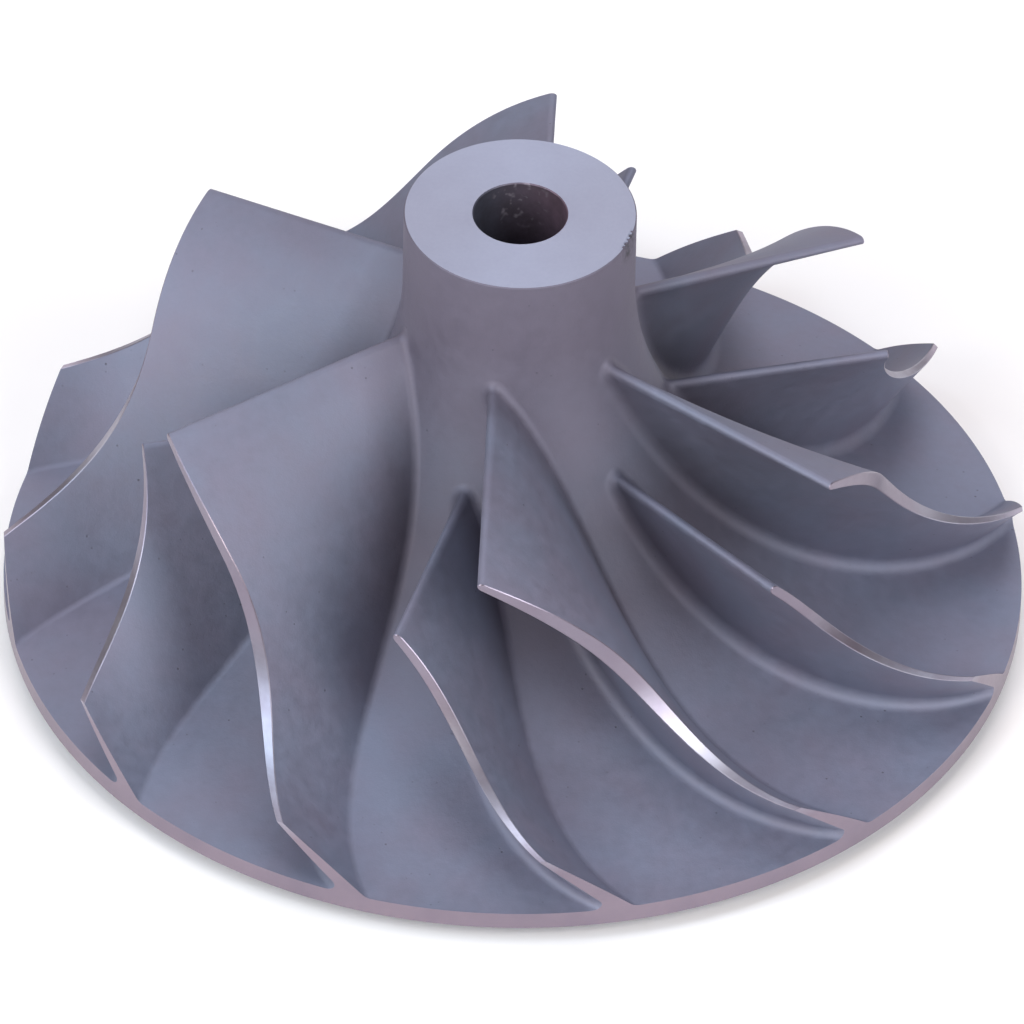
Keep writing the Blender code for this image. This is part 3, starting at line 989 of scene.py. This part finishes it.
def cut_finish(name, colour, shadow, metallic, roughness, anisotropy, pitch, low=None, rim=None):
    """A lathe-cut skin: two tones, streaked by the marks and clouded by handling.

    Where a low colour is given, it takes over below two heights as a painted reflection of bluish
    light, and the rim's colour below is a painted reflection of warm light."""
    material, tree, shader, place = new_finish(name, metallic, roughness)
    marks, across = lathe_marks(tree, place, pitch)
    clouds = noise(tree, place, 260.0, 4.0)
    scuffs = noise(tree, place, 3500.0, 3.0)
    # Painted reflections by height: bluish light on the strips' lower part, warm light on the rim.
    if low:
        height = along_axis(tree, place, "Z")
        colour = mixed(tree, spread(tree, height, SKY_REFLECTION_HEIGHTS, 1.0, 0.0), colour, low)
        colour = mixed(tree, spread(tree, height, RIM_REFLECTION_HEIGHTS, 1.0, 0.0), colour, rim)
    tone = mixed(tree, spread(tree, clouds, (0.38, 0.68), 0.0, 0.6), colour, shadow)
    tone = mixed(tree, spread(tree, marks, NOISE_BAND, 0.0, 0.12), tone, shadow)
    rough = spread(tree, scuffs, NOISE_BAND, roughness - 0.02, roughness + 0.03)
    layers = [(marks, 0.12, 0.00001), (scuffs, 0.03, 0.00001)]
    wire(tree, shader, {"Base Color": tone, "Roughness": rough, "Tangent": across,
                        "Normal": bumps(tree, layers)})
    shader.inputs["Anisotropic"].default_value = anisotropy
    return material


# %% The bore: dark, oily, with painted glints of light
BORE_BLUE, BORE_PLUM = (0.11, 0.12, 0.165, 1), (0.21, 0.14, 0.19, 1)
BORE_DARK, BORE_GLINT = (0.05, 0.04, 0.05, 1), (0.40, 0.36, 0.43, 1)
GLINT_HEIGHTS, GLINT_DEPTHS, BORE_SIDES = (0.0305, 0.0325), (0.0024, 0.0031), (-0.0025, 0.0025)


def bore_finish():
    """Oily plum film, bluer on one side, with painted glints at the back of the mouth, where light
    gets in.
    """
    material, tree, shader, place = new_finish("bore_wall", 0.6, 0.5)
    film = noise(tree, place, 700.0, 3.0)
    aside, depth, height = (along_axis(tree, place, axis) for axis in "XYZ")
    # Painted glints: light specks high on the far wall of the mouth, where light gets in.
    near = times(tree, spread(tree, height, GLINT_HEIGHTS), spread(tree, depth, GLINT_DEPTHS))
    glints = spread(tree, noise(tree, place, 2100.0, 1.0), (0.6, 0.82))
    tone = mixed(tree, spread(tree, aside, BORE_SIDES), BORE_BLUE, BORE_PLUM)
    tone = mixed(tree, spread(tree, film, (0.35, 0.65), 0.0, 0.5), tone, BORE_DARK)
    tone = mixed(tree, times(tree, glints, near), tone, BORE_GLINT)
    marks, _ = lathe_marks(tree, place, 0.00025)
    wire(tree, shader, {"Base Color": tone, "Roughness": spread(tree, film, NOISE_BAND, 0.4, 0.6),
                        "Normal": bumps(tree, [(marks, 0.4, 0.00002)])})
    return material


CUT_ROSE, CUT_PLUM = (0.27, 0.237, 0.295, 1), (0.23, 0.192, 0.245, 1)
# A painted reflection of bluish light on the strips' lower part, and one of warm light on the rim.
CUT_SKY_REFLECTION, RIM_WARM_REFLECTION = (0.40, 0.40, 0.48, 1), (0.29, 0.235, 0.285, 1)
FACE_LILAC, FACE_GREY = (0.334, 0.364, 0.47, 1), (0.31, 0.335, 0.435, 1)
finishes = [cast_finish(),
            cut_finish("cut_edges", CUT_ROSE, CUT_PLUM, 0.85, 0.33, 0.5, 0.00012,
                       CUT_SKY_REFLECTION, RIM_WARM_REFLECTION),
            cut_finish("turned_faces", FACE_LILAC, FACE_GREY, 1.0, 0.5, 0.35, 0.00009),
            bore_finish()]
for made in finishes:
    wheel_mesh.materials.append(made)
print("finishes:", [made.name for made in finishes])

# %% [markdown]
# ## Floor, light and camera
# The wheel stands on a plain pale floor under soft studio light. The camera looks down at
# about 41 degrees through a very long lens, as the round faces' ellipses show. Three tall
# soft boxes near the wheel draw the long highlights on its blade edges. Boxes alone would
# leave the floor dark a metre behind it, so the weaker lights are wide discs far away,
# which light the floor alike to its end and fill the shadows of the passages.

# %% Floor
FLOOR_HALF = 4.0
FLOOR_PALE = (0.97, 0.945, 0.935, 1.0)


def floor_sheet(half):
    """A square grid of points at no height."""
    sheet = Sheets()
    x, y = np.meshgrid(np.linspace(-half, half, 9), np.linspace(-half, half, 9))
    sheet.grid(np.stack([x, y, np.zeros_like(x)], axis=-1), 0, 0)
    mesh = bpy.data.meshes.new("floor")
    mesh.from_pydata(sheet.points[0].tolist(), [], sheet.faces)
    return bpy.data.objects.new("floor", mesh)


floor = floor_sheet(FLOOR_HALF)
bpy.context.scene.collection.objects.link(floor)
pale, _, shader, _ = new_finish("pale_floor", 0.0, 0.9)
shader.inputs["Base Color"].default_value = FLOOR_PALE
floor.data.materials.append(pale)
print("floor:", 2 * FLOOR_HALF, "m wide")

# %% Camera
FOCAL, DISTANCE, TILT, ROLL = 19627.9, 38.5908, 0.7138, 0.0210
IMAGE_CENTRE = (512.39, 588.31)


def place_camera():
    """Eye on the line of sight, moved sideways so that the rim's centre lands on its pixel."""
    data = bpy.data.cameras.new("camera")
    data.sensor_width = 36.0
    data.lens = FOCAL / 1024 * 36.0
    data.clip_start, data.clip_end = 0.1, 20.0
    right = Vector((1, 0, 0))
    up = Vector((0, math.sin(TILT), math.cos(TILT)))
    forward = Vector((0, math.cos(TILT), -math.sin(TILT)))
    tilted_right = right * math.cos(ROLL) + up * math.sin(ROLL)
    tilted_up = up * math.cos(ROLL) - right * math.sin(ROLL)
    scale = DISTANCE * WHEEL_RADIUS / FOCAL
    eye = Vector((0, 0, PAD_DEPTH)) - forward * DISTANCE * WHEEL_RADIUS
    eye -= tilted_right * (IMAGE_CENTRE[0] - 512) * scale
    eye += tilted_up * (IMAGE_CENTRE[1] - 512) * scale
    camera = bpy.data.objects.new("camera", data)
    turn_to = Matrix((tilted_right, tilted_up, -forward)).transposed()
    camera.matrix_world = Matrix.Translation(eye) @ turn_to.to_4x4()
    bpy.context.scene.collection.objects.link(camera)
    bpy.context.scene.camera = camera
    return camera


camera = place_camera()
print("camera lens", round(camera.data.lens, 1), "mm at", [round(v, 4) for v in camera.location])


# %% Lights
def hang(lamp, azimuth, elevation, distance):
    """Put a lamp at two angles in degrees and a distance, facing the wheel."""
    turn, rise = math.radians(azimuth), math.radians(elevation)
    flat = math.cos(rise)
    place = Vector((math.cos(turn) * flat, math.sin(turn) * flat, math.sin(rise)))
    lamp.location = place * distance
    lamp.rotation_euler = place.to_track_quat("Z", "Y").to_euler()
    bpy.context.scene.collection.objects.link(lamp)


def near_light(name, azimuth, elevation, width, height, falls, colour, distance=0.8):
    """A tall soft box near the wheel.

    Its power is pi x distance squared x the light that falls on a square metre of the wheel."""
    data = bpy.data.lights.new(name, "AREA")
    data.shape = "RECTANGLE"
    data.size, data.size_y = width, height
    data.energy = math.pi * distance**2 * falls
    data.color = colour
    hang(bpy.data.objects.new(name, data), azimuth, elevation, distance)


def far_light(name, azimuth, elevation, disc, falls, colour, distance=3.0):
    """A wide disc of so many degrees. Its light is parallel, so its own distance is only drawn."""
    data = bpy.data.lights.new(name, "SUN")
    data.angle = math.radians(disc)
    data.energy = falls
    data.color = colour
    hang(bpy.data.objects.new(name, data), azimuth, elevation, distance)


# Name, azimuth, elevation, width and height or disc, light that falls on the wheel, colour.
NEAR_LIGHTS = [("left", -150.0, 46.0, 0.3, 0.75, 1.4, (0.68, 0.85, 1.0)),
               ("front_left", -122.0, 28.0, 0.3, 0.55, 1.34, (1.0, 0.95, 0.87)),
               ("right", -50.0, 30.0, 0.3, 0.65, 1.88, (0.95, 0.99, 1.0))]
FAR_LIGHTS = [("left_back", -175.0, 30.0, 31.0, 0.38, (1.0, 1.0, 0.86)),
              ("far_right", -25.0, 36.0, 31.0, 0.28, (1.0, 1.0, 1.0)),
              ("overhead", 90.0, 84.0, 34.0, 0.78, (0.88, 0.92, 1.0)),
              ("back_right", 45.0, 45.0, 43.0, 0.29, (0.85, 0.92, 1.0)),
              ("behind", 90.0, 34.0, 40.0, 0.70, (1.0, 0.94, 0.94))]
STUDIO_AIR, STUDIO_AIR_STRENGTH = (1.0, 0.75, 0.75, 1.0), 0.16
for lamp in NEAR_LIGHTS:
    near_light(*lamp)
for lamp in FAR_LIGHTS:
    far_light(*lamp)
world = bpy.data.worlds.new("studio")
world.use_nodes = True
air = world.node_tree.nodes["Background"]
air.inputs["Color"].default_value = STUDIO_AIR
air.inputs["Strength"].default_value = STUDIO_AIR_STRENGTH
bpy.context.scene.world = world
bpy.context.scene.view_settings.view_transform = "Standard"
print("lights:", [lamp[0] for lamp in NEAR_LIGHTS + FAR_LIGHTS])
